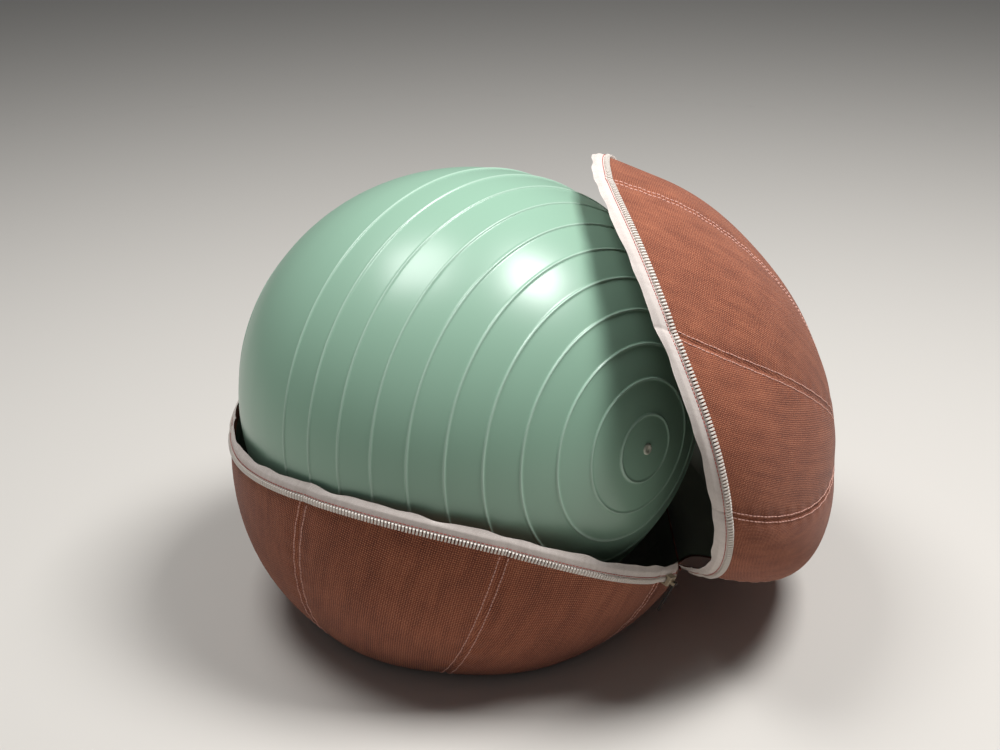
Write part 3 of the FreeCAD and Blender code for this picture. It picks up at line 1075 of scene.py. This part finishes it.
    def build(self) -> list[bpy.types.Object]:
        """Makes every piece of the half and ties it to the frame.

        Returns:
            The pieces.
        """
        n, low = self.name, self.half is Half.LOWER
        cloth = self.cloth("cloth", 0.0, Look.CLOTH, False)
        lining = self.cloth("lining", -self.lining_depth, Look.LINING, True)
        disc = self.end_disc("end_cloth", 0.0, Look.CLOTH, False)
        disc_lining = self.end_disc("end_lining", -self.lining_depth, Look.LINING, True)
        ring = self.ring()
        # The turned edge takes the turned-in cloth, painted redder and darker as painted shade.
        turned = self.strip("turned_edge", ((0.0, -0.2), (1.0, -2.9), (self.turned_width, -3.1)),
                            Look.TURNED)
        tape = self.strip("tape", ((-self.tape_stand, -2.2), (-1.5, -0.8), (0.0, 0.4),
                                   (2.0, 0.8), (self.tape_width, 0.8)), Look.TAPE, self.tape_wave)
        teeth = self.zip_row("teeth", self.tooth, self.tooth_line, Look.TEETH, False)
        stitch = self.zip_row("zip_stitch", self.zip_thread, self.zip_thread_line,
                              Look.RED_THREAD, True)
        seam = self.seam_stitch()
        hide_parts(*(f"{n}_panel_{i + 1}" for i in range(self.shape.gores)))
        shown = {disc: "end_panel", ring: "end_ring", turned: "rim_facing", tape: "zip_tape",
                 teeth: "zip_teeth"}
        for piece, node in shown.items():
            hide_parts(f"{n}_{node}")
        held, carrier = ("stretched", "ball") if low else ("hung", "fold_patch")
        declare_sheet(cloth, *self.cut(), held, (carrier,))
        declare_sheet(lining, *self.cut(), held, (cloth.name,))
        across = 2 * self.shape.radius * math.radians(self.shape.end_angle)
        for piece in (disc, disc_lining):
            declare_sheet(piece, (across, across), 0.25 * math.pi * across ** 2, held,
                          (cloth.name,))
        length = self.rim_length()
        for piece, width in ((turned, self.turned_width),
                             (tape, self.tape_width + self.tape_stand)):
            declare_sheet(piece, (width, length), width * length, "folded", (cloth.name,))
        self.tie()
        return self.parts

    def tie(self) -> None:
        """Ties the lower half's pieces to the lower cover's body and bakes the upper half's pieces
        in place.
        """
        start, end = self.shape.slump_line()
        for piece in self.parts:
            if self.half is Half.LOWER:
                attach(piece, "lower_cover")
            else:
                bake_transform(piece)


@dataclass(frozen=True)
class Fold:
    """The cloth that joins the halves beyond the ends of the zip."""

    lower: CoverHalf
    palette: Palette
    rows: int = 24
    columns: int = 70
    lap: float = 2.5
    end_lap: float = 0.01
    cloth_depth: float = 1.0
    lining_depth: float = 3.0

    def blend_line(self) -> np.ndarray:
        """Where the fold stops following the lower half and where it joins the upper one.

        Returns:
            The two row points.
        """
        s, phi = self.lower.shape, np.zeros(1)
        return np.stack([s.world(half, s.local(half, phi, s.edge_lat(half, phi), open_up=False))[0]
                         for half in Half])

    def opened(self, closed: np.ndarray) -> np.ndarray:
        """Moves points of the closed fold to where they lie with the cover open.

        Each point follows a mean of the two halves, so the share of each is found by halving.
        Turning about the fold line is a product of complex numbers in the plane across it.

        Args:
            closed: row points of the closed fold.

        Returns:
            Row points of the open fold, which bulges out.
        """
        s = self.lower.shape
        start, end = self.blend_line()
        axis = s.world(Half.LOWER, s.fold_point)
        arm = (closed - axis)[..., 0] + 1j * (closed - axis)[..., 2]
        quarter = np.exp(1j * math.radians(s.open_angle)) - 1.0

        def turned(share: np.ndarray) -> np.ndarray:
            """Row points that close onto the given ones with this share of the upper half."""
            back = arm / (1.0 + share * quarter)
            return np.stack([back.real + axis[0], closed[..., 1], back.imag + axis[2]], -1)

        def past(share: np.ndarray) -> np.ndarray:
            """Whether a share is as large as the blend gives at its own place."""
            place = (turned(share) - start) @ (end - start) / np.sum((end - start) ** 2)
            return smooth(place) <= share

        return turned(halved(past, np.zeros(arm.shape), np.ones(arm.shape)))

    def patch(self, name: str, depth: float, look: Look) -> bpy.types.Object:
        """One layer of the fold, a piece of the closed cover's sphere.

        Args:
            name: name of the piece.
            depth: distance inward from the cover's surface.
            look: finish.

        Returns:
            The new piece, laid open between the halves and baked in place.
        """
        s, end = self.lower.shape, self.lower.zip_span()[0] + self.end_lap
        phi = np.linspace(-end, end, self.columns)[None, :]
        low, high = (s.edge_lat(half, phi, self.lap) for half in Half)
        lat = low + (high - low) * np.linspace(0.0, 1.0, self.rows)[:, None]
        phi = phi * np.ones_like(lat)
        p = self.opened(s.world(Half.LOWER, s.local(Half.LOWER, phi, lat, -depth)))
        uv = np.stack([phi, lat], -1) * s.radius
        piece = self.palette.paint(make_object(name, p, grid_faces(*lat.shape), uv), look)
        tall, length = (high - low)[0] * s.radius, 2.0 * end * s.radius
        declare_sheet(piece, (float(tall.max()), length), float(tall.mean()) * length, "folded",
                      ("lower_cloth", "upper_cloth"))
        start, stop = self.blend_line() * MM
        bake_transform(piece)
        return piece

    def build(self) -> list[bpy.types.Object]:
        """Makes the cloth and the lining of the fold.

        Returns:
            The two pieces.
        """
        cloth = self.patch("fold_patch", self.cloth_depth, Look.CLOTH)
        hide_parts("hinge_gusset")
        lining = self.patch("fold_lining", self.lining_depth, Look.LINING)
        return [cloth, lining]


@dataclass(frozen=True)
class Lamp:
    """A square lamp: its place and size in metres and its power in watts."""

    name: str
    place: Point
    size: float
    power: float


@dataclass(frozen=True)
class Studio:
    """Floor, lights and camera, in metres and degrees."""

    palette: Palette
    place: Point = (0.0327, -1.5751, 1.0177)
    pitch: float = 25.0
    roll: float = -0.713
    lens: float = 52.2
    sensor: float = 36.0
    far: float = 50.0
    aim: Point = (0.08, 0.0, 0.25)
    floor_reach: float = 6.0
    world_colour: str = "E8ECF0"
    world_strength: float = 0.10
    lamps: tuple[Lamp, ...] = (Lamp("key", (1.15, -0.1, 2.7), 0.9, 78.0),
                               Lamp("ceiling", (-0.8, 0.1, 2.7), 1.0, 40.0),
                               Lamp("fill", (-1.2, -2.4, 1.3), 1.8, 1.2))

    def floor(self) -> None:
        """A plain pale floor."""
        corners = np.array([(-1, -1, 0), (1, -1, 0), (1, 1, 0), (-1, 1, 0)], float)
        plane = make_object("floor", corners * self.floor_reach / MM, np.array([[0, 1, 2, 3]]),
                            soft=False)
        self.palette.paint(plane, Look.FLOOR)

    def light(self, lamp: Lamp) -> None:
        """Adds a lamp aimed at the object.

        Args:
            lamp: the lamp.
        """
        data = bpy.data.lights.new(lamp.name, "AREA")
        data.size, data.energy = lamp.size, lamp.power
        obj = bpy.data.objects.new(lamp.name, data)
        obj.location = lamp.place
        aim = Vector(self.aim) - Vector(lamp.place)
        obj.rotation_euler = aim.to_track_quat("-Z", "Y").to_euler()
        bpy.context.scene.collection.objects.link(obj)

    def camera(self) -> None:
        """Sets the camera at the photo's place and angle."""
        data = bpy.data.cameras.new("camera")
        data.lens, data.sensor_width, data.clip_end = self.lens, self.sensor, self.far
        cam = bpy.data.objects.new("camera", data)
        tilt = Matrix.Rotation(math.radians(90.0 - self.pitch), 4, "X")
        roll = Matrix.Rotation(math.radians(self.roll), 4, "Z")
        cam.matrix_world = Matrix.Translation(self.place) @ tilt @ roll
        bpy.context.scene.collection.objects.link(cam)
        bpy.context.scene.camera = cam

    def build(self) -> None:
        """Sets up the whole studio."""
        scene = bpy.context.scene
        scene.view_settings.view_transform = "Standard"
        world = bpy.data.worlds.new("studio")
        scene.world = world
        world.use_nodes = True
        sky = world.node_tree.nodes["Background"]
        sky.inputs["Color"].default_value = linear(self.world_colour)
        sky.inputs["Strength"].default_value = self.world_strength
        self.floor()
        for lamp in self.lamps:
            self.light(lamp)
        self.camera()


# Small hard pieces keep the solids' own shapes and only get a finish.
# The fold piping takes the turned-in cloth, painted redder and darker as painted shade.
NODE_LOOKS = {"fold_piping": Look.TURNED, "slider_body": Look.SLIDER, "slider_pull": Look.PULL,
              # The zip end tabs take the cover's cloth painted darker, as painted shade.
              "zip_stops": Look.TEETH, "zip_end_tabs": Look.TAB}


def main() -> None:
    """Builds the pouf in its frame and reports each piece."""
    logging.basicConfig(level=logging.INFO, format="%(name)s %(message)s")
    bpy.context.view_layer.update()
    palette, shape = Palette(), CoverShape()
    halves = [CoverHalf(half, shape, palette) for half in Half]
    for part in (Ball(palette), *halves, Fold(halves[0], palette)):
        for piece in part.build():
            LOG.info("%s: %d faces", piece.name, len(piece.data.polygons))
    for node, look in NODE_LOOKS.items():
        palette.paint(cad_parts[node], look)
    Studio(palette).build()


if __name__ == "__main__":
    main()
